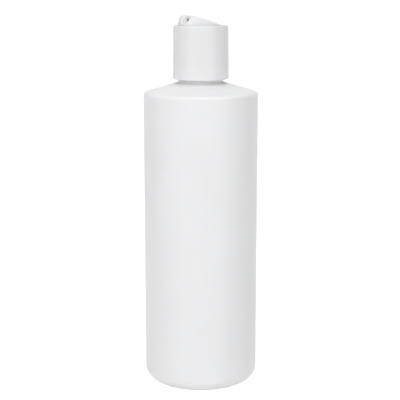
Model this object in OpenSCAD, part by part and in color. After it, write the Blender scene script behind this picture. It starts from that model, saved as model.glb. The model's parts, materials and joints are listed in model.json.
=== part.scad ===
// Cylinder bottle with a disc-top cap, tipped open. Millimetres, +Z up, origin at the centre of the base.
// The spout faces -Y. The cap screws onto the neck, and the disc rocks on two pins that lie along X.

/* [Bottle body] */
// Diameter of the body
body_d = 65; // [56:0.5:90]
// Height from the standing ring to the edge of the shoulder
body_h = 168; // [90:1:220]
// Wall of the body
wall = 1; // [0.8:0.1:1.2]
// Outer radius of the base's edge
base_edge_r = 7.5; // [4:0.5:10]
// Outer radius of the shoulder's edge
shoulder_edge_r = 1.6; // [1.4:0.2:4]
// Slope of the shoulder, in degrees from level
shoulder_slope = 16.5; // [8:0.5:32]
// Width of the flat ring that the bottle stands on
standing_w = 3; // [2:0.5:6]
// Depth of the push-up in the middle of the base
push_up = 3; // [1.5:0.5:5]
// Turn of the mould's parting line from the cap's hinge, in degrees
parting_turn = 46; // [0:1:90]
// Length of the pinch-off ridge across the base
pinch_l = 34; // [20:1:36]
// Width of the pinch-off ridge
pinch_w = 0.9; // [0.6:0.1:1.4]
// Height of the pinch-off ridge
pinch_h = 0.4; // [0.2:0.1:0.8]

/* [Neck finish] */
// Diameter of the neck under its thread
neck_d = 25.2; // [22:0.1:25.8]
// Height of the neck from the shoulder to the mouth
neck_h = 17.5; // [15:0.5:24]
// Wall of the neck
neck_wall = 1.7; // [1.2:0.1:2.4]
// Fillet between the shoulder and the neck
neck_fillet_r = 1; // [0.6:0.1:1.2]
// Radius of the mouth's two edges
lip_r = 0.4; // [0.2:0.1:0.5]
// Diameter over the crest of the thread
thread_d = 27.6; // [26.8:0.1:29]
// Pitch of the thread
thread_pitch = 4.23; // [3.6:0.01:5]
// Turns of full-height thread, without its run-out at each end
thread_turns = 1.25; // [1:0.05:1.6]
// Width of the thread at its root
thread_root_w = 2.4; // [1.8:0.1:2.8]
// Width of the thread at its crest
thread_crest_w = 1; // [0.6:0.1:1.4]
// Distance from the mouth to the middle of the thread's start
thread_start = 3.2; // [2.6:0.1:4]

/* [Cap body] */
// Wall of the skirt at its foot
skirt_wall = 1.8; // [1.3:0.1:2.4]
// Radial clearance between the thread's crest and the skirt's bore
thread_clear = 0.25; // [0.15:0.05:0.4]
// Clearance between the skirt's foot and the shoulder, at the neck
foot_gap = 1.5; // [0.8:0.1:2.5]
// How much smaller the cap's diameter is at the rim than at the foot
skirt_taper = 1; // [0.4:0.1:1.4]
// Radius of the skirt's outer edge at the foot
foot_edge_r = 0.7; // [0.3:0.1:1]
// Width of the rim around the disc
rim_w = 1.95; // [1.75:0.05:2.2]
// Radius of the rim's outer edge
rim_edge_r = 0.5; // [0.2:0.1:0.7]
// Thickness of the deck that lies on the mouth
deck_t = 1.4; // [1:0.1:2]
// Depth of the disc's well, from the rim to the deck
well_h = 12.6; // [11.8:0.1:16]
// Length of the plug seal inside the neck
plug_l = 3; // [2:0.1:4]
// Wall of the plug seal
plug_wall = 0.9; // [0.7:0.1:1.3]
// Radial clearance between the plug seal and the neck's bore
plug_clear = 0.15; // [0.1:0.05:0.3]
// Outer diameter of the valve seat on the deck
seat_d = 7; // [6:0.5:8]
// Thickness of a stop rib
rib_t = 1.2; // [0.8:0.1:1.6]
// Reach of a stop rib from the well's wall
rib_reach = 2.2; // [1.6:0.1:3]
// Angle of the stop ribs from the spout's line, in degrees
rib_angle = 32; // [28:1:40]

/* [Disc] */
// Gap between the disc and the well
disc_gap = 0.45; // [0.35:0.05:0.55]
// Gap that the disc's skirt keeps from the well as it swings
swing_gap = 0.25; // [0.15:0.05:0.3]
// Thickness of the disc's plate
plate_t = 1.4; // [1.2:0.1:1.6]
// How far the closed disc lies under the rim
plate_drop = 0; // [0:0.05:0.3]
// Radius of the plate's upper edge
plate_edge_r = 0.3; // [0.2:0.1:0.6]
// Angle between the closed and the open disc, in degrees
tilt = 22; // [20.5:0.5:23]
// Distance of the hinge behind the cap's axis
hinge_back = 3.3; // [2.8:0.1:3.6]
// Depth of the hinge's axis under the rim
hinge_drop = 1.8; // [1.6:0.1:2]
// Diameter of a hinge pin
pin_d = 2.2; // [1.8:0.1:2.4]
// Length of a hinge pin beyond the plate's edge
pin_l = 1.15; // [0.9:0.05:1.3]
// Length of the lug that carries a pin under the plate
lug_l = 2.6; // [2:0.1:3.2]
// Wall of a lug around its pin
lug_wall = 0.7; // [0.5:0.1:0.9]
// Radial clearance of a hinge pin in its socket
pin_clear = 0.07; // [0.05:0.01:0.1]
// Thickness of the disc's front skirt
disc_skirt_t = 1; // [0.8:0.1:1.4]
// How far the front skirt still reaches under the rim when the disc is open
skirt_lap = 1.5; // [1:0.1:2]
// Diameter of the thumb dish
dish_d = 11; // [8:0.5:12]
// Depth of the thumb dish
dish_depth = 0.5; // [0.3:0.1:0.6]
// Distance of the thumb dish behind the cap's axis
dish_back = 6.6; // [6.2:0.1:6.8]

/* [Spout and valve] */
// Width of the spout's recess, which has a round foot and a flat face
spout_w = 7.2; // [6:0.1:8.4]
// Height of the spout's recess, from the plate's top to its foot
spout_h = 4.6; // [4.3:0.1:5]
// Depth of the spout's face at the plate, behind the disc's round edge
spout_depth = 0.8; // [0.7:0.1:1.2]
// Diameter of the orifice and its channel
orifice_d = 2.2; // [1.8:0.1:2.4]
// Depth of the orifice's middle under the plate's top
orifice_drop = 2.1; // [2:0.1:2.3]
// Diameter of the countersink around the orifice
countersink_d = 3; // [2.8:0.1:3.4]
// Depth of the countersink
countersink_depth = 0.4; // [0.3:0.1:0.5]
// Wall around the channel
channel_wall = 1; // [0.8:0.1:1.4]
// Diameter of the valve's port
port_d = 2; // [1.6:0.1:2.2]
// Radius of the valve barrel, around the hinge's axis
barrel_r = 7.5; // [7.2:0.1:8]
// Width of the valve barrel, along the hinge's axis
barrel_w = 7.6; // [6.6:0.1:9]
// Clearance between the valve barrel and its seat
valve_clear = 0.1; // [0.05:0.05:0.2]
// Clearance at each stop of the disc
stop_clear = 0.1; // [0.05:0.05:0.2]

/* [Hidden] */
$fn = 96;
// Straight pieces for each round stretch of an outline
ARC_STEPS = 6;
// Straight pieces for each turn of the thread
THREAD_STEPS = 40;
// Turns that the thread takes to rise from the neck at each end
RUN_OUT = 0.12;
// How far one solid is sunk into another that it is joined to
SINK = 0.3;
// A length past every side of the part
FAR = 60;

body_r = body_d / 2;
neck_r = neck_d / 2;
bore_r = neck_r - neck_wall;
neck_z = body_h + (body_r - neck_r) * tan(shoulder_slope);
mouth_z = neck_z + neck_h;

skirt_bore_r = thread_d / 2 + thread_clear;
foot_r = skirt_bore_r + skirt_wall;
rim_r = foot_r - skirt_taper / 2;
well_r = rim_r - rim_w;
foot_z = neck_z + foot_gap;
deck_z = mouth_z + deck_t;
rim_z = deck_z + well_h;
plug_r = bore_r - plug_clear;

disc_r = well_r - disc_gap;
hinge = [0, hinge_back, rim_z - hinge_drop];
// Heights from here on are measured from the hinge's axis
plate_top = hinge_drop - plate_drop;
plate_foot = plate_top - plate_t;
skirt_foot = hinge_drop - skirt_lap;
channel_y = plate_top - orifice_drop;
channel_r = orifice_d / 2 + channel_wall;
port_r = port_d / 2;
// Where the plate's edge crosses the hinge's axis, and the end of a pin beyond it
pin_root = sqrt(disc_r * disc_r - hinge_back * hinge_back);
pin_end = pin_root + pin_l;
// The spout's face at the plate, and its depth at the foot, as it stands upright when the disc is open
face_y = spout_depth - disc_r - hinge_back;
face_foot_depth = spout_depth + spout_h * tan(tilt);

bottle_white = [0.93, 0.93, 0.93];
cap_white = [0.95, 0.95, 0.96];

// Points along a circular arc from one angle to another
function arc(centre, r, from, to) =
    [for (i = [0:ARC_STEPS]) let (a = from + (to - from) * i / ARC_STEPS)
        centre + r * [cos(a), sin(a)]];

// Height of the shoulder at radius x, on the skin that lies t inside the outer one
function shoulder_z(x, t) = body_h + (body_r - x) * tan(shoulder_slope) - t / cos(shoulder_slope);

// Centre of the shoulder's rounded edge
shoulder_centre = [
    body_r - shoulder_edge_r,
    shoulder_z(body_r - shoulder_edge_r * (1 - sin(shoulder_slope)), 0)
        - shoulder_edge_r * cos(shoulder_slope)
];

// Centre of the fillet of radius r between the shoulder's skin and an upright line at radius x
function neck_centre(x, r, t) =
    [x + r, shoulder_z(x + r * (1 - sin(shoulder_slope)), t) + r * cos(shoulder_slope)];

// Half outline of the bottle's skin, t inside the outer one, from the axis at the base to the neck
function skin(t, neck_x, fillet_r) = concat(
    dome(t, 0),
    arc([body_r - base_edge_r, base_edge_r], base_edge_r - t, -90, 0),
    arc(shoulder_centre, shoulder_edge_r - t, 0, 90 - shoulder_slope),
    arc(neck_centre(neck_x, fillet_r, t), fillet_r, 270 - shoulder_slope, 180)
);

standing_r = body_r - base_edge_r - standing_w;
dome_r = (standing_r * standing_r + push_up * push_up) / (2 * push_up);

// Outline of the base's push-up from the axis to the standing ring, raised by t and lowered by drop
function dome(t, drop) =
    [for (i = [0:ARC_STEPS]) let (x = standing_r * i / ARC_STEPS)
        [x, push_up - dome_r + sqrt(dome_r * dome_r - x * x) + t - drop]];

// Everything under a plane that is level in the bottle's frame once it is turned by angle about the hinge
module below_plane(height, angle) {
    translate(hinge) rotate([angle, 0, 0]) translate([-FAR, -FAR, height - 2 * FAR])
        cube(2 * FAR);
}

// The hollow shell, turned about the axis
module bottle_shell() {
    inner = skin(wall, bore_r, neck_fillet_r + wall);
    rotate_extrude()
        polygon(concat(
            skin(0, neck_r, neck_fillet_r),
            arc([neck_r - lip_r, mouth_z - lip_r], lip_r, 0, 90),
            arc([bore_r + lip_r, mouth_z - lip_r], lip_r, 90, 180),
            [for (i = [len(inner) - 1:-1:0]) inner[i]]
        ));
}

// The weld that the mould leaves across the base, along the mould's parting line
module pinch_off() {
    above = dome(SINK, 0);
    intersection() {
        rotate_extrude()
            polygon(concat(dome(0, pinch_h), [for (i = [len(above) - 1:-1:0]) above[i]]));
        rotate([0, 0, parting_turn]) translate([-pinch_l / 2, -pinch_w / 2, 0])
            cube([pinch_l, pinch_w, 2 * push_up]);
    }
}

// Share of the thread's full height at a given turn, rising and falling at its two ends
function thread_rise(turn) =
    min(1, turn / RUN_OUT, (thread_turns + 2 * RUN_OUT - turn) / RUN_OUT);

// Four corners of the thread's section at a given turn
function thread_section(turn) =
    let (
        rise = max(0.02, thread_rise(turn)),
        crest = neck_r + (thread_d / 2 - neck_r) * rise,
        z = mouth_z - thread_start - turn * thread_pitch,
        half_root = thread_root_w / 2,
        half_crest = thread_root_w / 2 + (thread_crest_w - thread_root_w) / 2 * rise,
        a = -360 * turn
    )
    [for (p = [
        [neck_r - SINK, -half_root],
        [neck_r, -half_root],
        [crest, -half_crest],
        [crest, half_crest],
        [neck_r, half_root],
        [neck_r - SINK, half_root]
    ]) [p[0] * cos(a), p[0] * sin(a), z + p[1]]];

// The raised helix on the neck, as one swept solid
module neck_thread() {
    corners = 6;
    steps = ceil((thread_turns + 2 * RUN_OUT) * THREAD_STEPS);
    points = [for (i = [0:steps]) each thread_section((thread_turns + 2 * RUN_OUT) * i / steps)];
    sides = [for (i = [0:steps - 1], j = [0:corners - 1])
        let (a = i * corners + j, b = i * corners + (j + 1) % corners, c = b + corners, d = a + corners)
        each [[a, b, c], [a, c, d]]];
    end = steps * corners;
    first = [for (j = [1:corners - 2]) [0, j + 1, j]];
    last = [for (j = [1:corners - 2]) [end, end + j, end + j + 1]];
    polyhedron(points, concat(first, sides, last));
}

module bottle() {
    color(bottle_white) union() {
        bottle_shell();
        pinch_off();
        neck_thread();
    }
}

// The cap's outer form with its bore for the neck and its well for the disc
module cap_shell() {
    lead_in = foot_edge_r / 2;
    rotate_extrude()
        polygon(concat(
            [[0, mouth_z], [skirt_bore_r, mouth_z]],
            [[skirt_bore_r, foot_z + lead_in], [skirt_bore_r + lead_in, foot_z]],
            arc([foot_r - foot_edge_r, foot_z + foot_edge_r], foot_edge_r, -90, 0),
            arc([rim_r - rim_edge_r, rim_z - rim_edge_r], rim_edge_r, 0, 90),
            [[well_r, rim_z], [well_r, deck_z], [0, deck_z]]
        ));
}

// The ring under the deck that seals inside the mouth
module plug_seal() {
    taper = plug_wall / 3;
    rotate_extrude()
        polygon([
            [plug_r - plug_wall, mouth_z + SINK],
            [plug_r - plug_wall, mouth_z - plug_l],
            [plug_r - taper, mouth_z - plug_l],
            [plug_r, mouth_z - plug_l + 2 * taper],
            [plug_r, mouth_z + SINK]
        ]);
}

// The post that the valve barrel turns on, hollowed to the barrel's own curve
module valve_seat() {
    difference() {
        translate([0, hinge_back, deck_z - SINK])
            cylinder(d = seat_d, h = hinge[2] - barrel_r / 2 - deck_z);
        translate(hinge) rotate([0, 90, 0])
            cylinder(r = barrel_r + valve_clear, h = FAR, center = true);
    }
}

// A blade on the well's wall, at an angle from the spout's line
module stop_rib(angle) {
    rotate([0, 0, angle - 90])
        translate([well_r - rib_reach, -rib_t / 2, deck_z - SINK])
            cube([rib_reach + SINK, rib_t, well_h]);
}

// Two blades under the front skirt and two under the rear of the plate, cut to the planes that they stop
module stop_ribs() {
    intersection() {
        union() {
            for (side = [-1, 1]) stop_rib(side * rib_angle);
        }
        below_plane(skirt_foot - stop_clear, tilt);
    }
    intersection() {
        union() {
            for (side = [-1, 1]) stop_rib(180 + side * rib_angle);
        }
        below_plane(plate_foot - stop_clear, -tilt);
    }
}

module cap_body() {
    color(cap_white) difference() {
        union() {
            cap_shell();
            plug_seal();
            valve_seat();
            stop_ribs();
        }
        translate(hinge) rotate([0, 90, 0])
            cylinder(r = pin_d / 2 + pin_clear, h = 2 * (pin_end + 2 * pin_clear), center = true);
        translate([0, hinge_back, mouth_z - plug_l])
            cylinder(r = port_r, h = well_h + plug_l);
    }
}

// The plate with its rounded upper edge and the thumb dish, closed, about the hinge
module plate() {
    dish_r = (dish_d * dish_d / 4 + dish_depth * dish_depth) / (2 * dish_depth);
    difference() {
        translate([0, -hinge_back, 0]) rotate_extrude()
            polygon(concat(
                [[0, plate_foot], [disc_r, plate_foot]],
                arc([disc_r - plate_edge_r, plate_top - plate_edge_r], plate_edge_r, 0, 90),
                [[0, plate_top]]
            ));
        translate([0, dish_back - hinge_back, plate_top - dish_depth + dish_r]) sphere(r = dish_r);
    }
}

// Every place that a piece turning on the hinge can fill and stay at this distance from the well
module swing_envelope(away) {
    rotate([0, 90, 0]) rotate_extrude() intersection() {
        translate([hinge_back, 0]) circle(r = well_r - away);
        translate([0, -FAR]) square([FAR, 2 * FAR]);
    }
}

// The wall under the front of the plate, with the pad behind the spout's face
module front_skirt() {
    pad_h = spout_h + disc_skirt_t;
    intersection() {
        translate([0, -hinge_back, 0]) union() {
            difference() {
                translate([0, 0, plate_foot - FAR]) cylinder(r = disc_r, h = FAR + SINK);
                intersection() {
                    translate([0, 0, plate_foot - FAR]) cylinder(r = disc_r - disc_skirt_t, h = 2 * FAR);
                    translate([0, hinge_back, 0]) swing_envelope(swing_gap + disc_skirt_t);
                }
            }
            translate([-spout_w / 2 - disc_skirt_t, -disc_r, plate_top - pad_h])
                cube([spout_w + 2 * disc_skirt_t, face_foot_depth + disc_skirt_t, pad_h - plate_t + SINK]);
        }
        translate([0, -hinge_back, -FAR]) cylinder(r = disc_r, h = 2 * FAR);
        swing_envelope(swing_gap);
        rotate([tilt, 0, 0]) translate([-FAR, -2 * FAR, skirt_foot]) cube(2 * FAR);
    }
}

// The barrel that turns on the valve seat, hung under the plate
module valve_barrel() {
    intersection() {
        rotate([0, 90, 0]) cylinder(r = barrel_r, h = barrel_w, center = true);
        translate([-FAR, -FAR, plate_foot + SINK - 2 * FAR]) cube(2 * FAR);
    }
}

// The tube from the barrel to the spout's face
module channel_tube() {
    intersection() {
        translate([0, 0, channel_y]) rotate([90, 0, 0])
            cylinder(r = channel_r, h = disc_r + hinge_back - disc_skirt_t);
        translate([-FAR, -2 * FAR, plate_foot + SINK - 2 * FAR]) cube(2 * FAR);
    }
}

// The recess of the spout, open at the plate, with a round foot and a flat that is upright in the open disc
module spout_recess() {
    round_z = plate_top - spout_h + spout_w / 2;
    intersection() {
        rotate([90, 0, 0]) linear_extrude(FAR) {
            translate([0, round_z]) circle(d = spout_w);
            translate([-spout_w / 2, round_z]) square([spout_w, FAR]);
        }
        translate([0, face_y, plate_top]) rotate([tilt, 0, 0])
            translate([-FAR, -2 * FAR, -FAR]) cube(2 * FAR);
    }
}

// The funnel around the orifice, square to the spout's face
module orifice_countersink() {
    widen = (countersink_d - orifice_d) * SINK / countersink_depth;
    translate([0, face_y + orifice_drop * tan(tilt), channel_y])
        rotate([tilt - 90, 0, 0]) translate([0, 0, -SINK])
            cylinder(d1 = countersink_d + widen, d2 = orifice_d, h = countersink_depth + SINK);
}

// A hinge pin with the lug that carries it under the plate, towards +X or -X
module hinge_pin(side) {
    rotate([0, side * 90, 0]) translate([0, 0, pin_root - lug_l])
        cylinder(d = pin_d, h = lug_l + pin_l);
    intersection() {
        rotate([0, side * 90, 0]) translate([0, 0, pin_root - lug_l])
            cylinder(d = pin_d + 2 * lug_wall, h = lug_l);
        translate([0, -hinge_back, plate_foot + SINK - FAR]) cylinder(r = disc_r, h = FAR);
    }
}

// The way of the liquid: in at the port in the barrel's foot, out at the orifice in the spout's face
module flow_path() {
    translate([0, port_r, channel_y]) rotate([90, 0, 0]) cylinder(d = orifice_d, h = FAR);
    rotate([tilt, 0, 0]) translate([0, 0, -barrel_r - SINK])
        cylinder(r = port_r, h = barrel_r + SINK + channel_y);
}

// The disc as it lies when it is closed, about the hinge
module closed_disc() {
    difference() {
        union() {
            plate();
            front_skirt();
            valve_barrel();
            channel_tube();
            for (side = [-1, 1]) hinge_pin(side);
        }
        spout_recess();
        orifice_countersink();
        flow_path();
    }
}

module disc() {
    color(cap_white) translate(hinge) rotate([-tilt, 0, 0]) closed_disc();
}

bottle();
cap_body();
disc();
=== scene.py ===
"""Looks of the disc-top bottle: the blow-moulded shell with its neck, the screw cap and the tipped disc."""
import json
import logging
import math
from dataclasses import dataclass
from enum import Enum
from typing import Sequence

import bmesh
import bpy
import numpy as np
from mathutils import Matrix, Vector


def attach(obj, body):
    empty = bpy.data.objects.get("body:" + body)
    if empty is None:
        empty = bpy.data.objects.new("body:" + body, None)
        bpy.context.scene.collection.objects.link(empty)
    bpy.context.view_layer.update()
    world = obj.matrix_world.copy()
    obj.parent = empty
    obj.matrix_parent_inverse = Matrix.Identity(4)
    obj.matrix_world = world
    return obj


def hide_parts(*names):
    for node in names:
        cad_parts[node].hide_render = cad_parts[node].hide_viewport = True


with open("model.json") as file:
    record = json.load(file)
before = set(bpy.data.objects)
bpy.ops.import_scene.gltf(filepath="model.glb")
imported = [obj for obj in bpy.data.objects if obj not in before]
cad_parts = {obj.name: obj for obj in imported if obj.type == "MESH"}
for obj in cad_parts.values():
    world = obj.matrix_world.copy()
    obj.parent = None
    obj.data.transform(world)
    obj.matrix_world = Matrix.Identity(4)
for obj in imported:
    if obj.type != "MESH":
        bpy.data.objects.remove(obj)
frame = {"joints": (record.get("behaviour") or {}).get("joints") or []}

LOG = logging.getLogger("disc_top_bottle")
Array = np.ndarray
Values = Array | float
MM = 0.001
TAU = 2.0 * math.pi
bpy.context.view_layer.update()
# Doubles nearer than this are merged, in metres
MERGE = 1.0e-6
# Points nearer than this to a run of an outline lie on it, in mm
ON_RUN = 1.0e-6
# Nearest and farthest that the camera sees, in metres
CLIP = (0.05, 200.0)


@dataclass(frozen=True)
class Corner:
    """A corner of an outline in mm: its place, the radius of its round, and the step along the next run."""

    x: float
    z: float
    radius: float = 0.0
    step: float = 0.0


def steps_between(start: Array, end: Array, step: float) -> Array:
    """Points that split a straight run evenly, without its two ends.

    Args:
        start: First end of the run.
        end: Last end of the run.
        step: Longest stretch that may stay whole, or 0 for no split.

    Returns:
        The points in between, shape (n, 2).
    """
    length = float(np.linalg.norm(end - start))
    count = max(1, math.ceil(length / step)) if step > 0 else 1
    share = np.arange(1, count)[:, None] / count
    return start + (end - start) * share


def rounded_outline(corners: Sequence[Corner], arc_step: float = 9.0) -> Array:
    """Joins corners by straight runs and rounds them off.

    A round of radius r at a corner that turns by angle t starts r * tan(t / 2) before the corner.
    Its centre lies r to the inside of the run, and its spoke sweeps through t.

    Args:
        corners: The corners in order.
        arc_step: Largest turn between two points of a round, in degrees.

    Returns:
        Points, shape (n, 2).
    """
    place = np.array([(c.x, c.z) for c in corners])
    parts = [place[:1]]
    for i, corner in enumerate(corners[1:], start=1):
        here = place[i]
        points = here[None]
        if i < len(corners) - 1 and corner.radius > 0:
            ahead = (here - place[i - 1]) / np.linalg.norm(here - place[i - 1])
            after = (place[i + 1] - here) / np.linalg.norm(place[i + 1] - here)
            turn = math.atan2(ahead[0] * after[1] - ahead[1] * after[0], float(ahead @ after))
            start = here - ahead * corner.radius * math.tan(abs(turn) / 2)
            centre = start + math.copysign(corner.radius, turn) * np.array([-ahead[1], ahead[0]])
            spoke = start - centre
            swing = np.linspace(0.0, turn, max(3, math.ceil(math.degrees(abs(turn)) / arc_step) + 1))
            points = centre + np.stack([
                spoke[0] * np.cos(swing) - spoke[1] * np.sin(swing),
                spoke[0] * np.sin(swing) + spoke[1] * np.cos(swing),
            ], axis=1)
        parts += [steps_between(parts[-1][-1], points[0], corners[i - 1].step), points]
    return np.concatenate(parts)


def outward_normals(outline: Array) -> Array:
    """Unit normals on the right-hand side of an outline.

    The direction at a point is the difference of its two neighbours, turned by a quarter to the right.

    Args:
        outline: Points, shape (n, 2).

    Returns:
        Normals, shape (n, 2).
    """
    along = np.gradient(outline, axis=0)
    along /= np.maximum(np.linalg.norm(along, axis=1, keepdims=True), 1e-9)
    return np.stack([along[:, 1], -along[:, 0]], axis=1)


def smooth_step(value: Array, low: float, high: float) -> Array:
    """Rises from 0 at low to 1 at high, as 3 t^2 - 2 t^3."""
    t = np.clip((value - low) / (high - low), 0.0, 1.0)
    return t * t * (3.0 - 2.0 * t)


def full_turn(count: int) -> Array:
    """Angles of count points that lie evenly over a full turn."""
    return np.arange(count) * TAU / count


def upright_rings(radius: Values, angle: Array, z: Values, centre_y: Values = 0.0) -> Array:
    """Rings about upright axes at x = 0, as (radius * cos a, centre_y + radius * sin a, z).

    Args:
        radius: Radius of each ring or point, of a shape that goes with angle.
        angle: Angles of a ring's points, shape (m,).
        z: Height of each ring or point.
        centre_y: Place of each ring's axis.

    Returns:
        Rings, shape (n, m, 3).
    """
    x, y = radius * np.cos(angle), radius * np.sin(angle) + centre_y
    return np.stack(np.broadcast_arrays(x, y, z), axis=-1)


@dataclass(frozen=True)
class Shell:
    """A closed surface as rings of points in mm, shape (rings, points, 3).

    A looped surface joins its last ring to its first.
    """

    grid: Array
    looped: bool = False

    def faces(self, first: int) -> Array:
        """Four corners of every cell between two rings.

        Args:
            first: Number of the grid's first point in its mesh.

        Returns:
            Point numbers, shape (n, 4).
        """
        rings, count = self.grid.shape[:2]
        ring = np.arange(rings if self.looped else rings - 1)[:, None]
        point = np.arange(count)[None, :]
        after, ring_after = (point + 1) % count, (ring + 1) % rings
        cells = np.stack(np.broadcast_arrays(
            ring * count + point, ring * count + after, ring_after * count + after, ring_after * count + point
        ), axis=-1)
        return cells.reshape(-1, 4) + first


def capped(grid: Array) -> Array:
    """Closes a stack of rings at both ends.

    Each end gets a ring whose points all lie at the mean of the end ring, and the doubles merge later.

    Args:
        grid: Rings, shape (rings, points, 3).

    Returns:
        Rings with the two poles.
    """
    low = np.broadcast_to(grid[:1].mean(axis=1, keepdims=True), grid[:1].shape)
    high = np.broadcast_to(grid[-1:].mean(axis=1, keepdims=True), grid[-1:].shape)
    return np.concatenate([low, grid, high])


def turned(origin: Sequence[float], axis: Sequence[float], profile: Array, count: int = 64) -> Array:
    """Turns a profile about any axis.

    A point is origin + axis * along + (side * cos a + up * sin a) * radius, for a from 0 to a full turn.

    Args:
        origin: A point on the axis, in mm.
        axis: Direction of the axis.
        profile: Pairs of distance along the axis and radius, shape (rings, 2).
        count: Points on a ring.

    Returns:
        Rings with both ends closed, shape (rings + 2, count, 3).
    """
    along = np.array(axis, float) / np.linalg.norm(axis)
    other = np.array([0.0, 0.0, 1.0]) if abs(along[2]) < 0.9 else np.array([0.0, 1.0, 0.0])
    side = np.cross(other, along)
    side /= np.linalg.norm(side)
    up = np.cross(along, side)
    angle = full_turn(count)[None, :, None]
    ring = side * np.cos(angle) + up * np.sin(angle)
    grid = np.array(origin, float) + along * profile[:, 0, None, None] + ring * profile[:, 1, None, None]
    return capped(grid)


def rod_profile(start: float, end: float, radius: float, chamfer: float = 0.0) -> Array:
    """Profile of a plain rod with an equal chamfer at both ends, as distance and radius."""
    return np.array([(start, radius - chamfer), (start + chamfer, radius),
                     (end - chamfer, radius), (end, radius - chamfer)])


def make_piece(name: str, shells: Sequence[Shell]) -> bpy.types.Object:
    """Puts closed surfaces into one mesh object at the origin.

    Args:
        name: Name of the object.
        shells: The surfaces, in mm.

    Returns:
        The object, its doubles merged and its faces turned outwards.
    """
    points, faces, first = [], [], 0
    for shell in shells:
        points.append(shell.grid.reshape(-1, 3))
        faces.append(shell.faces(first))
        first += len(points[-1])
    mesh = bpy.data.meshes.new(name)
    mesh.from_pydata((np.concatenate(points) * MM).tolist(), [], np.concatenate(faces).tolist())
    piece = bpy.data.objects.new(name, mesh)
    bpy.context.scene.collection.objects.link(piece)
    clean(piece)
    return piece


def clean(piece: bpy.types.Object) -> None:
    """Merges doubles, drops faces without area and turns all faces outwards.

    Args:
        piece: The piece whose mesh is cleaned.
    """
    work = bmesh.new()
    work.from_mesh(piece.data)
    bmesh.ops.remove_doubles(work, verts=work.verts, dist=MERGE)
    bmesh.ops.dissolve_degenerate(work, edges=work.edges, dist=MERGE / 2)
    bmesh.ops.recalc_face_normals(work, faces=work.faces)
    work.to_mesh(piece.data)
    work.free()


def smooth(piece: bpy.types.Object, sharp_deg: float) -> None:
    """Shades a piece smooth, apart from its sharp edges.

    Args:
        piece: The piece.
        sharp_deg: Turn between two faces, in degrees, from which their edge is sharp.
    """
    mesh = piece.data
    mesh.polygons.foreach_set("use_smooth", np.ones(len(mesh.polygons), dtype=bool))
    mesh.set_sharp_from_angle(angle=math.radians(sharp_deg))
    mesh.update()


class Joining(Enum):
    """How one closed solid is joined to another."""

    UNITE = "UNION"
    CUT = "DIFFERENCE"


def combine(piece: bpy.types.Object, joining: Joining, shells: Sequence[Shell]) -> None:
    """Unites a piece with closed surfaces or cuts them out of it, one after the other.

    Args:
        piece: The piece that changes.
        joining: Whether the surfaces are added or taken away.
        shells: The surfaces, in mm.
    """
    for shell in shells:
        tool = make_piece("tool", [shell])
        step = piece.modifiers.new(joining.name, "BOOLEAN")
        step.operation, step.solver, step.object = joining.value, "MANIFOLD", tool
        graph = bpy.context.evaluated_depsgraph_get()
        graph.update()
        done = bpy.data.meshes.new_from_object(piece.evaluated_get(graph))
        old = piece.data
        piece.modifiers.clear()
        piece.data = done
        done.name = piece.name
        bpy.data.meshes.remove(old)
        bpy.data.objects.remove(tool)
        clean(piece)


def add_node(tree: bpy.types.NodeTree, kind: str, values: dict[str, object]) -> bpy.types.Node:
    """Adds a node to a tree.

    Args:
        tree: The node tree.
        kind: The node's type, without the words that all types start with.
        values: What each named input is set to.

    Returns:
        The node.
    """
    node = tree.nodes.new("ShaderNode" + kind)
    for name, value in values.items():
        node.inputs[name].default_value = value
    return node


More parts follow.
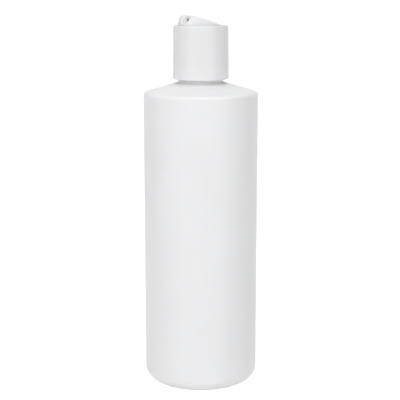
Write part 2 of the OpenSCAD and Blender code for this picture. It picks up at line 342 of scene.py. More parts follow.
@dataclass(frozen=True)
class MouldedPlastic:
    """A white satin plastic as it comes out of its mould, lengths in mm."""

    name: str
    tone: tuple[float, float, float]
    # Share by which the tone falls in its darker clouds, and the size of a cloud
    cloud_fall: float = 0.02
    cloud_mm: float = 26.0
    roughness: float = 0.42
    roughness_spread: float = 0.05
    patch_mm: float = 7.0
    # Fine texture of the mould's face
    grain_mm: float = 0.35
    grain_depth_mm: float = 0.004
    # Long faint lines along Z, as drawn by the die or by the pull out of the mould
    line_mm: float = 1.6
    line_length_mm: float = 90.0
    line_depth_mm: float = 0.006
    # Strength of the clear mirror layer, half being that of plain plastic
    mirror: float = 0.36
    milkiness: float = 0.45
    milk_depth_mm: float = 2.0
    # How far the three colours spread in it, as shares of its depth
    milk_spread: tuple[float, float, float] = (1.0, 0.97, 0.93)
    refraction: float = 1.5

    def build(self) -> bpy.types.Material:
        """Makes the material's nodes, all of them on Object coordinates.

        Returns:
            The material.
        """
        material = bpy.data.materials.new(self.name)
        material.use_nodes = True
        tree, links = material.node_tree, material.node_tree.links
        shader = tree.nodes["Principled BSDF"]
        coords = add_node(tree, "TexCoord", {}).outputs["Object"]

        def noise(size: Sequence[float], detail: float, seed: float) -> bpy.types.NodeSocket:
            """Noise between 0 and 1 whose spots are size mm along X, Y and Z.

            Args:
                size: Size of a spot along the three axes.
                detail: Octaves.
                seed: Shift of the pattern.

            Returns:
                The noise's factor.
            """
            mapping = add_node(tree, "Mapping", {
                "Scale": [1.0 / (s * MM) for s in size], "Location": (seed, seed * 1.7, seed * 0.6),
            })
            texture = add_node(tree, "TexNoise", {"Scale": 1.0, "Detail": detail, "Roughness": 0.5})
            links.new(coords, mapping.inputs["Vector"])
            links.new(mapping.outputs["Vector"], texture.inputs["Vector"])
            return texture.outputs["Fac"]

        def spread(factor: bpy.types.NodeSocket, low: float, high: float) -> bpy.types.NodeSocket:
            """Maps the noise's usual span, 0.3 to 0.7, to low to high.

            Args:
                factor: The noise.
                low: Value at 0.3.
                high: Value at 0.7.

            Returns:
                The mapped value.
            """
            span = {"From Min": 0.3, "From Max": 0.7, "To Min": low, "To Max": high}
            node = add_node(tree, "MapRange", span)
            links.new(factor, node.inputs["Value"])
            return node.outputs["Result"]

        clouds = spread(noise([self.cloud_mm] * 3, detail=3.0, seed=3.1), 0.0, 1.0)
        mix = add_node(tree, "Mix", {})
        mix.data_type = "RGBA"
        dim = [c * (1.0 - self.cloud_fall) for c in self.tone]
        mix.inputs["A"].default_value = (*dim, 1.0)
        mix.inputs["B"].default_value = (*self.tone, 1.0)
        links.new(clouds, mix.inputs["Factor"])
        links.new(mix.outputs["Result"], shader.inputs["Base Color"])

        low, high = self.roughness - self.roughness_spread, self.roughness + self.roughness_spread
        patches = noise([self.patch_mm] * 3, detail=4.0, seed=8.4)
        links.new(spread(patches, low, high), shader.inputs["Roughness"])

        lines = add_node(tree, "Bump", {"Distance": self.line_depth_mm * MM})
        drawn = noise([self.line_mm, self.line_mm, self.line_length_mm], detail=2.0, seed=1.3)
        links.new(drawn, lines.inputs["Height"])
        grain = add_node(tree, "Bump", {"Distance": self.grain_depth_mm * MM})
        links.new(noise([self.grain_mm] * 3, detail=3.0, seed=5.2), grain.inputs["Height"])
        links.new(lines.outputs["Normal"], grain.inputs["Normal"])
        links.new(grain.outputs["Normal"], shader.inputs["Normal"])

        shader.inputs["IOR"].default_value = self.refraction
        shader.inputs["Specular IOR Level"].default_value = self.mirror
        shader.inputs["Subsurface Weight"].default_value = self.milkiness
        shader.inputs["Subsurface Radius"].default_value = self.milk_spread
        shader.inputs["Subsurface Scale"].default_value = self.milk_depth_mm * MM
        return material


def dress(piece: bpy.types.Object, finish: MouldedPlastic) -> None:
    """Gives a piece its one finish."""
    piece.data.materials.clear()
    piece.data.materials.append(finish.build())


@dataclass(frozen=True)
class Thread:
    """A helical ridge about the Z axis, lengths in mm, that falls as it turns towards smaller angles."""

    top: float
    pitch: float = 4.23
    turns: float = 1.49
    run_out: float = 0.12
    root_w: float = 2.4
    crest_w: float = 1.0
    height: float = 1.2
    # Width that a flank keeps where the ridge fades
    least_flank: float = 0.001

    def rise(self, angle: Array, z: Array) -> Array:
        """Height of the ridge over its root.

        The middle of the ridge lies at top - pitch * turn, with turn = -angle / full turn + a whole number.
        Its section is a trapezoid with softened edges, and its height fades at both ends over run_out turns.

        Args:
            angle: Angles about the axis in radians.
            z: Heights, of a shape that goes with angle.

        Returns:
            The height in mm.
        """
        first = (-angle / TAU) % 1.0
        half_root = self.root_w / 2
        total = np.zeros(np.broadcast(angle, z).shape)
        for whole in range(math.ceil(self.turns)):
            turn = first + whole
            fade = np.clip(np.minimum(turn, self.turns - turn) / self.run_out, 0.0, 1.0)
            half_crest = half_root - (half_root - self.crest_w / 2) * fade
            inside = half_root - np.abs(z - self.top + self.pitch * turn)
            side = np.clip(inside / np.maximum(half_root - half_crest, self.least_flank), 0.0, 1.0)
            total = np.maximum(total, self.height * fade * (side + smooth_step(side, 0.0, 1.0)) / 2)
        return total


@dataclass
class Bottle:
    """The blow-moulded bottle, lengths in mm and angles in degrees."""

    body_r: float = 32.5
    body_h: float = 168.0
    wall: float = 1.0
    base_edge_r: float = 7.5
    shoulder_edge_r: float = 1.6
    shoulder_slope: float = 16.5
    standing_w: float = 3.0
    ring_edge_r: float = 2.5
    push_up: float = 3.0
    # Distance from the push-up's rim at which its arc goes over into the standing ring
    dome_gap: float = 1.5
    neck_r: float = 12.6
    bore_r: float = 10.9
    neck_h: float = 17.5
    neck_fillet_r: float = 1.0
    lip_r: float = 0.4
    thread_start: float = 3.2
    # Plain stretch under the lip
    plain_lip: float = 1.0
    parting_turn: float = 46.0
    ridge_h: float = 0.05
    ridge_w: float = 0.35
    # Heights between which the parting line and the waves come in over the base
    ridge_start: tuple[float, float] = (0.3, 4.0)
    wave_start: tuple[float, float] = (3.0, 7.5)
    pinch_l: float = 34.0
    pinch_w: float = 0.9
    pinch_h: float = 0.4
    pinch_side: float = 0.25
    pinch_end: float = 1.2
    wave_h: float = 0.03
    # Heights over which the two waves turn by one radian
    wave_l: float = 23.0
    cross_wave_l: float = 41.0
    # How far the skin stays inside the solid's own skin, so that their boxes agree
    inset: float = 0.022
    segments: int = 248

    finish: MouldedPlastic = MouldedPlastic(
        name="bottle_satin", tone=(0.930, 0.930, 0.938), roughness=0.46, roughness_spread=0.05,
        cloud_mm=30.0, line_depth_mm=0.008, grain_depth_mm=0.003,
    )

    @property
    def neck_root_z(self) -> float:
        """Height at which the neck leaves the shoulder."""
        return self.shoulder_z(self.neck_r, 0.0)

    @property
    def mouth_z(self) -> float:
        """Height of the mouth."""
        return self.neck_root_z + self.neck_h

    @property
    def push_up_r(self) -> float:
        """Radius of the push-up's rim."""
        return self.body_r - self.base_edge_r - self.standing_w

    def shoulder_z(self, radius: float, depth: float) -> float:
        """Height of the shoulder's skin at a radius, depth under the outer skin, as a plain slope."""
        slope = math.radians(self.shoulder_slope)
        return self.body_h + (self.body_r - radius) * math.tan(slope) - depth / math.cos(slope)

    def dome(self, depth: float, step: float) -> Array:
        """The push-up from the axis to near its rim, as an arc of a large circle.

        Args:
            depth: Distance over the outer skin.
            step: Distance between two points.

        Returns:
            Points, shape (n, 2).
        """
        rim = self.push_up_r
        big_r = (rim ** 2 + self.push_up ** 2) / (2 * self.push_up)
        x = np.linspace(0.0, rim - self.dome_gap, math.ceil(rim / step))
        return np.stack([x, self.push_up - big_r + np.sqrt(big_r ** 2 - x ** 2) + depth], axis=1)

    def outer_outline(self) -> Array:
        """Outer skin from the axis under the base to the middle of the mouth's lip.

        Returns:
            Points, shape (n, 2).
        """
        dome = self.dome(depth=0.0, step=0.45)
        rest = rounded_outline([
            Corner(*dome[-1]),
            Corner(self.push_up_r, 0.0, self.ring_edge_r, 1.0),
            Corner(self.body_r, 0.0, self.base_edge_r, 2.6),
            Corner(self.body_r, self.body_h, self.shoulder_edge_r, 1.4),
            Corner(self.neck_r, self.neck_root_z, self.neck_fillet_r, 0.17),
            Corner(self.neck_r, self.mouth_z, self.lip_r, 0.3),
            Corner((self.neck_r + self.bore_r) / 2, self.mouth_z),
        ], arc_step=6.0)
        return np.concatenate([dome[:-1], rest])

    def inner_outline(self) -> Array:
        """Inner skin from the middle of the mouth's lip to the axis over the base.

        Returns:
            Points, shape (n, 2).
        """
        dome = self.dome(self.wall, step=2.0)[::-1]
        inner_r = self.body_r - self.wall
        rest = rounded_outline([
            Corner((self.neck_r + self.bore_r) / 2, self.mouth_z),
            Corner(self.bore_r, self.mouth_z, self.lip_r, 2.0),
            Corner(self.bore_r, self.shoulder_z(self.bore_r, self.wall), self.neck_fillet_r + self.wall, 3.0),
            Corner(inner_r, self.shoulder_z(inner_r, self.wall), self.shoulder_edge_r - self.wall, 8.0),
            Corner(inner_r, self.wall, self.base_edge_r - self.wall, 2.0),
            Corner(self.push_up_r, self.wall, self.ring_edge_r, 1.0),
            Corner(*dome[0]),
        ], arc_step=15.0)
        return np.concatenate([rest[1:], dome[1:]])

    def angles(self) -> Array:
        """Angles of the points on a ring: evenly spread, with more of them along the parting line.

        Returns:
            Angles in radians, shape (m,).
        """
        near = np.array([-0.8, -0.45, -0.25, -0.1, 0.0, 0.1, 0.25, 0.45, 0.8]) / self.body_r
        parting = math.radians(self.parting_turn) + np.array([[0.0], [math.pi]])
        angles = np.concatenate([full_turn(self.segments), (parting + near).ravel() % TAU])
        return np.unique(np.round(angles, 5))

    def across_parting(self, angle: Array, radius: Array) -> Array:
        """Distance of a point from the plane of the mould's parting line, radius * |sin(angle - turn)|."""
        return np.abs(radius * np.sin(angle - math.radians(self.parting_turn)))

    def skin_relief(self, angle: Array, radius: Array, z: Array) -> Array:
        """How far the real skin stands off the plain one, along its normal.

        The parting line is a bell curve across its plane. The wall also sinks by a product of two slow
        waves, one round the body and one along it, which fades towards the base.

        Args:
            angle: Angles of the points.
            radius: Radii of the rings.
            z: Heights of the rings.

        Returns:
            The offset in mm.
        """
        ridge = self.ridge_h * np.exp(-(self.across_parting(angle, radius) / (self.ridge_w / 2)) ** 2)
        ridge = ridge * smooth_step(z, *self.ridge_start)
        wave = np.sin(3 * angle + z / self.wave_l + 0.4) * np.cos(2 * angle - z / self.cross_wave_l)
        return ridge - (self.inset + self.wave_h / 2 * (1.0 + wave)) * smooth_step(z, *self.wave_start)

    def pinch_off(self, angle: Array, radius: Array) -> Array:
        """Depth of the weld across the push-up, a flat ridge with soft sides and a slightly uneven height.

        Args:
            angle: Angles of the points.
            radius: Radii of the rings.

        Returns:
            The depth in mm.
        """
        along = radius * np.cos(angle - math.radians(self.parting_turn))
        across = self.across_parting(angle, radius)
        half = self.pinch_w / 2
        level = self.pinch_h * (0.9 + 0.1 * np.sin(along * 1.3) * np.cos(along * 0.47))
        flat = 1.0 - smooth_step(across, half - self.pinch_side, half)
        end = self.pinch_l / 2
        return level * flat * (1.0 - smooth_step(np.abs(along), end - self.pinch_end, end))

    def surface(self) -> Array:
        """The whole skin: the outline turned about Z and moved by the relief, the thread and the weld.

        Returns:
            Rings, shape (n, m, 3).
        """
        outer, inner = self.outer_outline(), self.inner_outline()
        outline = np.concatenate([outer, inner])
        normal = outward_normals(outline)
        angle = self.angles()
        radius, z = outline[:, 0, None], outline[:, 1, None]
        is_outer = (np.arange(len(outline)) < len(outer))[:, None]
        on_neck = is_outer & (np.abs(radius - self.neck_r) < ON_RUN)
        on_base = is_outer & (radius < self.pinch_l / 2 + 1) & (z < 2 * self.push_up)
        is_blown = is_outer & ~on_base & (z < self.mouth_z - self.plain_lip)
        relief = np.where(is_blown, self.skin_relief(angle, radius, z), 0.0)
        thread = Thread(top=self.mouth_z - self.thread_start)
        radius = radius + normal[:, :1] * relief + np.where(on_neck, thread.rise(angle, z), 0.0)
        z = z + normal[:, 1:] * relief - np.where(on_base, self.pinch_off(angle, radius), 0.0)
        return upright_rings(radius, angle, z)

    def build(self) -> bpy.types.Object:
        """Makes and dresses the bottle.

        Returns:
            The finished piece.
        """
        piece = make_piece("bottle_shell", [Shell(self.surface())])
        smooth(piece, sharp_deg=50.0)
        dress(piece, self.finish)
        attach(piece, "bottle")
        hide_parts("bottle")
        return piece


@dataclass
class CapBody:
    """The screw cap with its plug seal, valve seat, stop ribs and pin sockets, lengths in mm."""

    mouth_z: float
    neck_root_z: float
    hinge: tuple[float, float, float]
    tilt: float
    # Gap between the neck's root and the cap's foot
    foot_gap: float = 1.5
    bore_r: float = 14.05
    foot_r: float = 15.85
    rim_r: float = 15.35
    well_r: float = 13.4
    well_h: float = 12.6
    deck_t: float = 1.4
    # Flat rings that the deck starts with: beside the well's wall, and under it inside the plug
    well_ring_w: float = 1.2
    plug_ring_w: float = 1.0
    foot_edge_r: float = 0.7
    rim_edge_r: float = 0.5
    well_edge_r: float = 0.15
    plug_r: float = 10.75
    plug_wall: float = 0.9
    plug_l: float = 3.0
    seat_r: float = 3.5
    seat_fillet_r: float = 0.3
    # Where the seat's rounded edge starts, inside its radius and under its top, and where it ends
    seat_bevel: tuple[float, float] = (0.04, 0.1)
    seat_edge_r: float = 0.18
    port_r: float = 1.0
    port_edge_r: float = 0.12
    socket_r: float = 1.17
    socket_end: float = 13.81
    saddle_r: float = 7.6
    rib_t: float = 1.2
    rib_reach: float = 2.2
    rib_angle: float = 32.0
    rib_edge_r: float = 0.15
    rib_bevel: float = 0.12
    # How far a rib goes into the well's wall and into its floor
    rib_wall_sink: float = 0.3
    rib_floor_sink: float = 0.2
    front_stop: float = 0.2
    rear_stop: float = 0.3
    thread_start: float = 5.3
    thread_turns: float = 1.4
    thread_h: float = 0.17
    segments: int = 256

    finish: MouldedPlastic = MouldedPlastic(
        name="cap_satin", tone=(0.822, 0.822, 0.830), roughness=0.42, roughness_spread=0.04,
        cloud_mm=18.0, line_mm=0.9, line_length_mm=30.0, line_depth_mm=0.004, grain_depth_mm=0.004,
    )

    @property
    def foot_z(self) -> float:
        """Height of the foot."""
        return self.neck_root_z + self.foot_gap

    @property
    def deck_z(self) -> float:
        """Height of the well's floor."""
        return self.mouth_z + self.deck_t

    @property
    def rim_z(self) -> float:
        """Height of the rim."""
        return self.deck_z + self.well_h

    def saddle_z(self, y: Array) -> Array:
        """Height of the valve seat at y: the lower half of a circle about the hinge."""
        return self.hinge[2] - np.sqrt(self.saddle_r ** 2 - (y - self.hinge[1]) ** 2)

    def outline(self) -> Array:
        """The part that is round about the cap's own axis, from the deck's underside round to its top.

        Returns:
            Points, shape (n, 2).
        """
        lead_in = self.foot_edge_r / 2
        tip_z = self.mouth_z - self.plug_l
        inner_plug = self.plug_r - self.plug_wall
        taper = self.plug_wall / 3
        return rounded_outline([
            Corner(inner_plug - self.plug_ring_w, self.mouth_z, 0.0, 0.5),
            Corner(inner_plug, self.mouth_z, 0.25, 0.7),
            Corner(inner_plug, tip_z, 0.12, 0.0),
            Corner(self.plug_r - taper, tip_z, 0.12, 0.0),
            Corner(self.plug_r, tip_z + 2 * taper, 0.3, 0.7),
            Corner(self.plug_r, self.mouth_z, 0.15, 0.8),
            Corner(self.bore_r, self.mouth_z, 0.2, 0.3),
            Corner(self.bore_r, self.foot_z + lead_in, 0.1, 0.0),
            Corner(self.bore_r + lead_in, self.foot_z, 0.1, 0.0),
            Corner(self.foot_r, self.foot_z, self.foot_edge_r, 1.1),
            Corner(self.rim_r, self.rim_z, self.rim_edge_r, 0.5),
            Corner(self.well_r, self.rim_z, self.well_edge_r, 0.9),
            Corner(self.well_r, self.deck_z, 0.35, 0.5),
            Corner(self.well_r - self.well_ring_w, self.deck_z),
        ], arc_step=12.0)

    def shell(self) -> Shell:
        """The cap as one looped skin: up the wall, over the deck and the seat, and down the port.

        Between the port and the wall, the rings' radii and centres go over evenly into each other.

        Returns:
            The skin.
        """
        angle = full_turn(self.segments)
        wall = self.outline()
        wall_r, wall_z = wall[:, :1], np.broadcast_to(wall[:, 1:], (len(wall), self.segments))
        ridge = Thread(top=self.mouth_z - self.thread_start, height=self.thread_h, turns=self.thread_turns)
        on_bore = np.abs(wall_r - self.bore_r) < ON_RUN
        wall_r = wall_r - np.where(on_bore, ridge.rise(angle, wall_z), 0.0)

        seat_y = self.hinge[1]
        share = np.linspace(0.0, 1.0, 12)[:, None]
        deck_r, foot_r = self.well_r - self.well_ring_w, self.seat_r + self.seat_fillet_r
        fillet = self.seat_fillet_r * np.array([(0.4, 0.1), (0.8, 0.4), (1.0, 1.0)])[..., None]
        post_top = self.saddle_z(seat_y + self.seat_r * np.sin(angle))
        lift = np.linspace(0.15, 0.93, 6)[:, None]
        port_edge = self.port_r + self.port_edge_r
        saddle_r = np.linspace(self.seat_r - self.seat_edge_r, port_edge, 7)
        saddle_r = np.append(self.seat_r - self.seat_bevel[0], saddle_r)[:, None]
        saddle_z = self.saddle_z(seat_y + saddle_r * np.sin(angle))
        saddle_z[0] -= self.seat_bevel[1]
        port_top = self.saddle_z(seat_y + self.port_r * np.sin(angle))
        fall = np.linspace(0.03, 0.97, 8)[:, None]
        under_r = port_edge + (wall[0, 0] - port_edge) * share[:-1]
        return Shell(np.concatenate([
            upright_rings(wall_r, angle, wall_z),
            upright_rings(deck_r + (foot_r - deck_r) * share[1:], angle, self.deck_z, seat_y * share[1:]),
            upright_rings(foot_r - fillet[:, 0], angle, self.deck_z + fillet[:, 1], seat_y),
            upright_rings(self.seat_r, angle, self.deck_z + (post_top - self.deck_z) * lift, seat_y),
            upright_rings(saddle_r, angle, saddle_z, seat_y),
            upright_rings(self.port_r, angle, port_top + (self.mouth_z - port_top) * fall, seat_y),
            upright_rings(under_r, angle, self.mouth_z, seat_y * (1.0 - share[:-1])),
        ]), looped=True)

    def rib(self, turn: float, stop: float, lean: float) -> Shell:
        """A blade on the well's wall, whose top lies in the plane that stops the disc.

        Its section is a rectangle with rounded corners. The plane's height at y is
        hinge z + (stop + sin(lean) * (y - hinge y)) / cos(lean).

        Args:
            turn: Direction of the rib from the axis, in degrees.
            stop: Distance of the plane from the hinge.
            lean: Turn of the plane about the hinge, in degrees.

        Returns:
            The blade.
        """
        reach, half = (self.rib_reach + self.rib_wall_sink) / 2, self.rib_t / 2
        a = full_turn(48)
        section = np.stack([
            np.sign(np.cos(a)) * (reach - self.rib_edge_r) + self.rib_edge_r * np.cos(a),
            np.sign(np.sin(a)) * (half - self.rib_edge_r) + self.rib_edge_r * np.sin(a),
        ], axis=1)
        section[:, 0] += self.well_r - self.rib_reach + reach
        t, lean_rad = math.radians(turn), math.radians(lean)
        shrink = np.array([0.0, 0.0, 0.0, self.rib_bevel])[:, None, None]
        mid = section.mean(axis=0)
        wide = mid + (section - mid)[None] * (1.0 - shrink / half)
        x = wide[..., 0] * math.cos(t) - wide[..., 1] * math.sin(t)
        y = wide[..., 0] * math.sin(t) + wide[..., 1] * math.cos(t)
        top = self.hinge[2] + (stop + math.sin(lean_rad) * (y - self.hinge[1])) / math.cos(lean_rad)
        low = self.deck_z - self.rib_floor_sink
        level = np.array([0.0, 0.5, 1.0, 1.0])[:, None]
        z = low + (top - low) * level - np.array([0.0, 0.0, self.rib_bevel, 0.0])[:, None]
        return Shell(capped(np.stack([x, y, z], axis=-1)))

    def build(self) -> bpy.types.Object:
        """Makes and dresses the cap.

        Returns:
            The finished piece.
        """
        piece = make_piece("cap_shell", [self.shell()])
        ribs = [self.rib(-90.0 + s * self.rib_angle, self.front_stop, self.tilt) for s in (-1, 1)]
        ribs += [self.rib(90.0 + s * self.rib_angle, self.rear_stop, -self.tilt) for s in (-1, 1)]
        combine(piece, Joining.UNITE, ribs)
        depth = rod_profile(self.well_r - 1.5, self.socket_end, self.socket_r)
        combine(piece, Joining.CUT, [
            Shell(turned(self.hinge, (side, 0.0, 0.0), depth)) for side in (-1.0, 1.0)
        ])
        smooth(piece, sharp_deg=38.0)
        dress(piece, self.finish)
        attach(piece, "cap")
        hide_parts("cap_body")
        return piece


@dataclass
class Disc:
    """The tipping disc, worked out closed and about its hinge, lengths in mm and angles in degrees."""

    hinge: tuple[float, float, float]
    tilt: float
    disc_r: float = 12.95
    hinge_back: float = 3.3
    plate_top: float = 1.79
    plate_t: float = 1.4
    edge_r: float = 0.3
    swing_r: float = 13.15
    skirt_foot: float = 0.3
    skirt_t: float = 1.0
    dish_r: float = 5.5
    dish_depth: float = 0.5
    dish_back: float = 6.6
    spout_r: float = 3.6
    spout_h: float = 4.6
    spout_depth: float = 0.8
    spout_fillet_r: float = 0.3
    orifice_r: float = 1.1
    orifice_drop: float = 2.1
    funnel_r: float = 1.5
    funnel_depth: float = 0.4
    tube_r: float = 2.1
    barrel_r: float = 7.5
    barrel_w: float = 7.6
    port_r: float = 1.0
    pin_r: float = 1.1
    pin_l: float = 1.15
    lug_r: float = 1.8
    lug_l: float = 2.6
    # How far the pad and the lugs stay inside the disc's outside
    pad_inset: float = 0.35
    lug_inset: float = 0.1
    # How far each part reaches into the plate, all different so that no two faces meet
    pad_sink: float = 0.5
    barrel_sink: float = 0.63
    tube_sink: float = 0.41
    lug_sink: float = 0.74
    # How far the cutters stand out of what they cut
    recess_over: float = 4.0
    bore_over: float = 1.0
    funnel_over: float = 0.5
    funnel_overlap: float = 0.6
    segments: int = 256

    finish: MouldedPlastic = MouldedPlastic(
        name="disc_satin", tone=(0.880, 0.880, 0.887), roughness=0.44, roughness_spread=0.04,
        cloud_mm=12.0, line_mm=0.8, line_length_mm=16.0, line_depth_mm=0.002, grain_depth_mm=0.003,
        mirror=0.30, milkiness=0.85, milk_depth_mm=2.5,
    )

    @property
    def plate_foot(self) -> float:
        """Height of the plate's underside."""
        return self.plate_top - self.plate_t

    @property
    def lean(self) -> float:
        """The tilt in radians."""
        return math.radians(self.tilt)

    @property
    def channel_z(self) -> float:
        """Height of the channel's middle."""
        return self.plate_top - self.orifice_drop

    def wall_radius(self, angle: Array, z: Array) -> Array:
        """Radius of the disc's outside, kept within what may swing past the well.

        A point swings clear of the well where x^2 + (distance from the hinge - hinge_back)^2 is at most
        swing_r^2. The radius where that holds with equality is found by halving an interval.

        Args:
            angle: Angles about the disc's axis.
            z: Heights, of a shape that goes with angle.

        Returns:
            The radius.
        """
        angle, z = np.broadcast_arrays(angle, z)
        low, high = np.zeros(angle.shape), np.full(angle.shape, self.disc_r)
        for _ in range(40):
            mid = (low + high) / 2
            away = np.hypot(mid * np.sin(angle) - self.hinge_back, z) - self.hinge_back
            inside = (mid * np.cos(angle)) ** 2 + away ** 2 <= self.swing_r ** 2
            low, high = np.where(inside, mid, low), np.where(inside, high, mid)
        return low

    def foot(self, angle: Array, inset: float = 0.0) -> Array:
        """Height of the skirt's foot, which is level in the open disc and rises into the plate at the rear.

        The foot's plane has the height (skirt_foot + y * sin(tilt)) / cos(tilt). The wall's y there depends
        on the height again, so both are worked out in turns.

        Args:
            angle: Angles about the disc's axis.
            inset: Distance inside the outer wall.

        Returns:
            The height for each angle.
        """
        z = np.full(angle.shape, self.plate_foot)
        for _ in range(6):
            y = (self.wall_radius(angle, z) - inset) * np.sin(angle) - self.hinge_back
            z = np.minimum(self.plate_foot, (self.skirt_foot + y * math.sin(self.lean)) / math.cos(self.lean))
        return z

    def top(self, x: Array, y: Array) -> Array:
        """Height of the plate's top with the thumb dish, a shallow cap of a ball with a softened edge.

        Args:
            x: Places along the hinge.
            y: Places across the hinge.

        Returns:
            The height.
        """
        away = np.hypot(x, y + self.hinge_back - self.dish_back) / self.dish_r
        hollow = np.maximum(1.0 - away ** 2, 0.0)
        return self.plate_top - self.dish_depth * hollow * smooth_step(hollow, -0.25, 0.22)

    def plate(self) -> Shell:
        """The plate and the front skirt as one skin: top, edge, wall, foot, inner wall and underside.

        Returns:
            The skin.
        """
        angle = full_turn(self.segments)
        wide = np.ones((1, self.segments))
        flat_r = self.disc_r - self.edge_r
        radius = np.linspace(0.0, flat_r, 34)[:, None] * wide
        height = self.top(radius * np.cos(angle), radius * np.sin(angle) - self.hinge_back)
        bend = np.linspace(0.0, math.pi / 2, 7)[1:, None]
        edge_r = (flat_r + self.edge_r * np.sin(bend)) * wide
        edge_z = (self.plate_top - self.edge_r + self.edge_r * np.cos(bend)) * wide
        foot = self.foot(angle)[None]
        down = np.linspace(0.0, 1.0, 18)[1:, None]
        wall_z = self.plate_top - self.edge_r + (foot - self.plate_top + self.edge_r) * down
        wall_r = self.wall_radius(angle[None], wall_z)
        up = np.linspace(0.0, 1.0, 10)[:, None]
        inner_foot = self.foot(angle, self.skirt_t)[None]
        inner_z = inner_foot + (self.plate_foot - inner_foot) * up
        inner_r = self.wall_radius(angle[None], inner_z) - self.skirt_t
        under_r = inner_r[-1:] * np.linspace(1.0, 0.0, 10)[1:, None]
        under_z = np.full(under_r.shape, self.plate_foot)
        radius = np.concatenate([radius, edge_r, wall_r, inner_r, under_r])
        height = np.concatenate([height, edge_z, wall_z, inner_z, under_z])
        return Shell(upright_rings(radius, angle, height, -self.hinge_back))

    def pad(self) -> Shell:
        """The thick place behind the spout: a block whose front follows the skirt.

        Returns:
            The block.
        """
        half = self.spout_r + self.skirt_t
        front_r = self.disc_r - self.pad_inset
        depth = self.spout_depth + self.spout_h * math.tan(self.lean) + self.skirt_t
        x = np.linspace(-half, half, 25)
        front = np.stack([x, -np.sqrt(front_r ** 2 - x ** 2)], axis=1)
        rear = np.stack([x[::-1], np.full_like(x, -self.disc_r + depth)], axis=1)
        section = np.concatenate([front, rear]) + [0.0, -self.hinge_back]
        level = (self.plate_top - self.spout_h - self.skirt_t, self.plate_foot + self.pad_sink)
        grid = np.stack([np.column_stack([section, np.full(len(section), z)]) for z in level])
        return Shell(capped(grid))

    def beneath(self, grid: Array, sink: float) -> Shell:
        """Cuts what hangs under the plate level, sink mm inside the plate."""
        grid[..., 2] = np.minimum(grid[..., 2], self.plate_foot + sink)
        return Shell(grid)

    def underparts(self) -> list[Shell]:
        """What hangs under the plate: pad, valve barrel, channel tube, and the lugs with their pins.

        Returns:
            The solids to be united with the plate.
        """
        half = self.barrel_w / 2
        barrel = turned((0, 0, 0), (1, 0, 0), rod_profile(-half, half, self.barrel_r, chamfer=0.2), 128)
        reach = self.disc_r + self.hinge_back - self.skirt_t / 2
        tube = turned((0, 0, self.channel_z), (0, -1, 0), rod_profile(0.0, reach, self.tube_r), 64)
        parts = [self.pad(), self.beneath(barrel, self.barrel_sink), self.beneath(tube, self.tube_sink)]
        root = math.sqrt(self.disc_r ** 2 - self.hinge_back ** 2)
        for side in (-1.0, 1.0):
            along = np.linspace(root - self.lug_l, root, 9)
            lug = np.column_stack([along, np.full(9, self.lug_r)])
            pin = rod_profile(root, root + self.pin_l, self.pin_r, chamfer=0.15)[1:]
            grid = turned((0, 0, 0), (side, 0, 0), np.vstack([lug, (root, self.pin_r), pin]), 48)
            limit = np.sqrt((self.disc_r - self.lug_inset) ** 2 - (grid[:-4, :, 1] + self.hinge_back) ** 2)
            grid[:-4, :, 0] = side * np.minimum(np.abs(grid[:-4, :, 0]), limit)
            parts.append(self.beneath(grid, self.lug_sink))
        return parts

    def recess(self) -> Shell:
        """The cutter of the spout: a U whose floor is upright in the open disc, with a small round along it.

        The floor lies at y = face + (plate_top - z) * tan(tilt), and the U's half width grows over the
        first spout_fillet_r of depth as a quarter circle.

        Returns:
            The cutter.
        """
        face = self.spout_depth - self.disc_r - self.hinge_back
        middle = self.plate_top - self.spout_h + self.spout_r
        bow = np.linspace(math.pi, TAU, 41)
        bend = np.linspace(0.0, math.pi / 2, 6)
        inset = self.spout_fillet_r * (1.0 - np.sin(bend))
        ahead = self.spout_fillet_r * (1.0 - np.cos(bend))
        rings = []
        for gap, step in [*zip(inset, ahead), (0.0, self.recess_over)]:
            r = self.spout_r - gap
            x = np.concatenate([[-r], r * np.cos(bow), [r]])
            z = middle + np.concatenate([[self.recess_over], r * np.sin(bow), [self.recess_over]])
            rings.append(np.column_stack([x, face + (self.plate_top - z) * math.tan(self.lean) - step, z]))
        return Shell(capped(np.stack(rings)))

    def flow_cutters(self) -> list[Shell]:
        """Cutters for the way of the liquid: the funnel in the spout's face, the channel and the port.

        The funnel narrows from funnel_r to orifice_r as the square of what is left of its depth.

        Returns:
            The cutters.
        """
        face = self.spout_depth - self.disc_r - self.hinge_back + self.orifice_drop * math.tan(self.lean)
        inward = (0.0, math.cos(self.lean), math.sin(self.lean))
        s = np.linspace(0.0, 1.0, 8)
        funnel = np.column_stack([self.funnel_depth * s,
                                  self.orifice_r + (self.funnel_r - self.orifice_r) * (1.0 - s) ** 2])
        mouth = (-self.funnel_over, self.funnel_r)
        throat = (self.funnel_depth + self.funnel_overlap, self.orifice_r)
        funnel = np.vstack([mouth, funnel, throat])
        channel = rod_profile(-self.port_r, self.disc_r + self.hinge_back + self.bore_over, self.orifice_r)
        port = rod_profile(-self.barrel_r - self.bore_over, self.channel_z, self.port_r)
        up = (0.0, -math.sin(self.lean), math.cos(self.lean))
        return [
            Shell(turned((0.0, face, self.channel_z), inward, funnel, 64)),
            Shell(turned((0.0, 0.0, self.channel_z), (0.0, -1.0, 0.0), channel, 64)),
            Shell(turned((0.0, 0.0, 0.0), up, port, 48)),
        ]

    def place(self, piece: bpy.types.Object) -> None:
        """Opens the disc and carries it to its hinge: a turn by -tilt about X, then a move.

        Args:
            piece: The disc, closed and with its hinge at the origin.
        """
        mesh = piece.data
        points = np.empty(len(mesh.vertices) * 3)
        mesh.vertices.foreach_get("co", points)
        points = points.reshape(-1, 3)
        cos, sin = math.cos(self.lean), math.sin(self.lean)
        y, z = points[:, 1].copy(), points[:, 2].copy()
        points[:, 1] = y * cos + z * sin
        points[:, 2] = z * cos - y * sin
        points += np.array(self.hinge) * MM
        mesh.vertices.foreach_set("co", points.ravel())
        mesh.update()

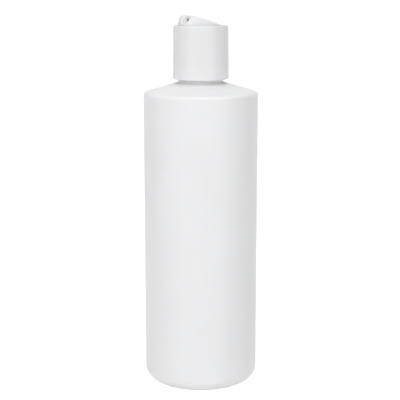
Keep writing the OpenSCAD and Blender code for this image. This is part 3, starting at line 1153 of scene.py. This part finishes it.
    def build(self) -> bpy.types.Object:
        """Makes and dresses the disc.

        Returns:
            The finished piece.
        """
        piece = make_piece("disc_shell", [self.plate()])
        combine(piece, Joining.UNITE, self.underparts())
        combine(piece, Joining.CUT, [self.recess(), *self.flow_cutters()])
        self.place(piece)
        smooth(piece, sharp_deg=32.0)
        dress(piece, self.finish)
        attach(piece, "disc")
        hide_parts("disc")
        return piece


@dataclass
class Camera:
    """The photograph's camera, lengths in mm and angles in degrees."""

    azimuth: float = 46.0
    distance: float = 655.0
    height: float = 234.1
    pitch: float = 11.1
    lens: float = 104.22
    sensor: float = 36.0
    # How far the camera stands to its left, which puts the bottle's axis right of the picture's middle
    left: float = 0.46

    def build(self) -> None:
        """Makes the camera and sets it as the scene's."""
        data = bpy.data.cameras.new("camera")
        data.lens, data.sensor_width = self.lens, self.sensor
        data.clip_start, data.clip_end = CLIP
        camera = bpy.data.objects.new("camera", data)
        bpy.context.scene.collection.objects.link(camera)
        a = math.radians(self.azimuth)
        back, right = Vector((math.sin(a), -math.cos(a), 0.0)), Vector((math.cos(a), math.sin(a), 0.0))
        camera.location = (back * self.distance - right * self.left + Vector((0.0, 0.0, self.height))) * MM
        camera.rotation_euler = (math.radians(90.0 - self.pitch), 0.0, a)
        bpy.context.scene.camera = camera


@dataclass(frozen=True)
class SoftLight:
    """A square soft light that faces the bottle's middle, lengths in metres and angles in degrees."""

    name: str
    # Direction, counted from the camera's
    turn: float
    elevation: float
    watts: float
    distance: float = 1.6
    size: float = 0.9
    aim_z: float = 0.11

    def hang(self, camera_azimuth: float) -> None:
        """Puts the light into the scene.

        Args:
            camera_azimuth: The camera's direction, in degrees.
        """
        data = bpy.data.lights.new(self.name, "AREA")
        data.size, data.energy = self.size, self.watts
        lamp = bpy.data.objects.new(self.name, data)
        bpy.context.scene.collection.objects.link(lamp)
        a, e = math.radians(camera_azimuth + self.turn), math.radians(self.elevation)
        back = Vector((math.sin(a) * math.cos(e), -math.cos(a) * math.cos(e), math.sin(e)))
        lamp.location = Vector((0.0, 0.0, self.aim_z)) + back * self.distance
        lamp.rotation_euler = back.to_track_quat("Z", "Y").to_euler()


@dataclass
class Studio:
    """The pale floor, the even white surroundings and the soft lights."""

    fill: float = 0.22
    fill_tone: tuple[float, float, float] = (0.985, 0.99, 1.0)
    floor_tone: float = 0.82
    floor_glow: float = 0.86
    floor_size: float = 60.0
    lights: tuple[SoftLight, ...] = (
        SoftLight("left_low_light", -40.0, 14.0, 3.6),
        SoftLight("left_high_light", -40.0, 30.0, 8.6),
        SoftLight("right_light", 40.0, 14.0, 6.7),
        SoftLight("side_light", 75.0, 30.0, 2.6),
        SoftLight("top_light", 0.0, 85.0, 6.4),
        SoftLight("back_light", 180.0, 16.0, 4.0, distance=2.0, size=1.8),
    )

    def seen_directly(self, tree: bpy.types.NodeTree) -> bpy.types.NodeSocket:
        """Is 1 for rays from the camera, a mirror reflection or a clear material, and 0 for the light itself.

        Args:
            tree: The node tree.

        Returns:
            The factor.
        """
        path = add_node(tree, "LightPath", {})
        seen = path.outputs["Is Camera Ray"]
        for kind in ("Is Glossy Ray", "Is Transmission Ray"):
            either = add_node(tree, "Math", {})
            either.operation = "MAXIMUM"
            tree.links.new(seen, either.inputs[0])
            tree.links.new(path.outputs[kind], either.inputs[1])
            seen = either.outputs[0]
        return seen

    def surroundings(self) -> None:
        """Makes a world that looks white and lights at the fill's level."""
        world = bpy.data.worlds.new("surroundings")
        world.use_nodes = True
        tree = world.node_tree
        tree.nodes.clear()
        light = add_node(tree, "Background", {"Color": (*self.fill_tone, 1.0), "Strength": self.fill})
        white = add_node(tree, "Background", {"Color": (1.0, 1.0, 1.0, 1.0), "Strength": 1.0})
        mix = add_node(tree, "MixShader", {})
        out = add_node(tree, "OutputWorld", {})
        tree.links.new(self.seen_directly(tree), mix.inputs["Fac"])
        tree.links.new(light.outputs[0], mix.inputs[1])
        tree.links.new(white.outputs[0], mix.inputs[2])
        tree.links.new(mix.outputs[0], out.inputs["Surface"])
        bpy.context.scene.world = world

    def floor(self) -> None:
        """Makes a wide pale floor that looks white where nothing shades it."""
        half = self.floor_size / 2
        mesh = bpy.data.meshes.new("floor")
        corners = [(-half, -half, 0), (half, -half, 0), (half, half, 0), (-half, half, 0)]
        mesh.from_pydata(corners, [], [(0, 1, 2, 3)])
        floor = bpy.data.objects.new("floor", mesh)
        bpy.context.scene.collection.objects.link(floor)
        material = bpy.data.materials.new("floor_paper")
        material.use_nodes = True
        tree = material.node_tree
        shader = tree.nodes["Principled BSDF"]
        shader.inputs["Base Color"].default_value = (self.floor_tone,) * 3 + (1.0,)
        shader.inputs["Roughness"].default_value = 1.0
        shader.inputs["Specular IOR Level"].default_value = 0.0
        glow = add_node(tree, "Emission", {"Color": (1.0, 1.0, 1.0, 1.0)})
        level = add_node(tree, "Math", {})
        level.operation = "MULTIPLY"
        level.inputs[1].default_value = self.floor_glow
        tree.links.new(self.seen_directly(tree), level.inputs[0])
        tree.links.new(level.outputs[0], glow.inputs["Strength"])
        both = add_node(tree, "AddShader", {})
        tree.links.new(shader.outputs[0], both.inputs[0])
        tree.links.new(glow.outputs[0], both.inputs[1])
        tree.links.new(both.outputs[0], tree.nodes["Material Output"].inputs["Surface"])
        mesh.materials.append(material)

    def build(self, camera: Camera) -> None:
        """Sets up floor, surroundings and lights.

        Args:
            camera: The camera, whose azimuth the lights are hung from.
        """
        self.floor()
        self.surroundings()
        for light in self.lights:
            light.hang(camera.azimuth)


def joint(name: str) -> dict[str, object]:
    """The frame's row of a joint."""
    return next(row for row in frame["joints"] if row["name"] == name)


def main() -> None:
    """Builds the camera, the pieces and the studio."""
    logging.basicConfig(level=logging.INFO, format="%(name)s: %(message)s")
    scene = bpy.context.scene
    scene.view_settings.view_transform = "Standard"
    camera = Camera()
    camera.build()
    bottle = Bottle()
    rocking = joint("disc_tilt")
    hinge = tuple(place / MM for place in rocking["pos_m"])
    # The disc is open at rest and closed at the far end of its joint
    tilt = max(rocking["range_deg"])
    assemblies = [bottle, CapBody(bottle.mouth_z, bottle.neck_root_z, hinge, tilt), Disc(hinge, tilt)]
    for assembly in assemblies:
        piece = assembly.build()
        LOG.info("%s: %d points, %d faces", piece.name, len(piece.data.vertices), len(piece.data.polygons))
    Studio().build(camera)


if __name__ == "__main__":
    main()
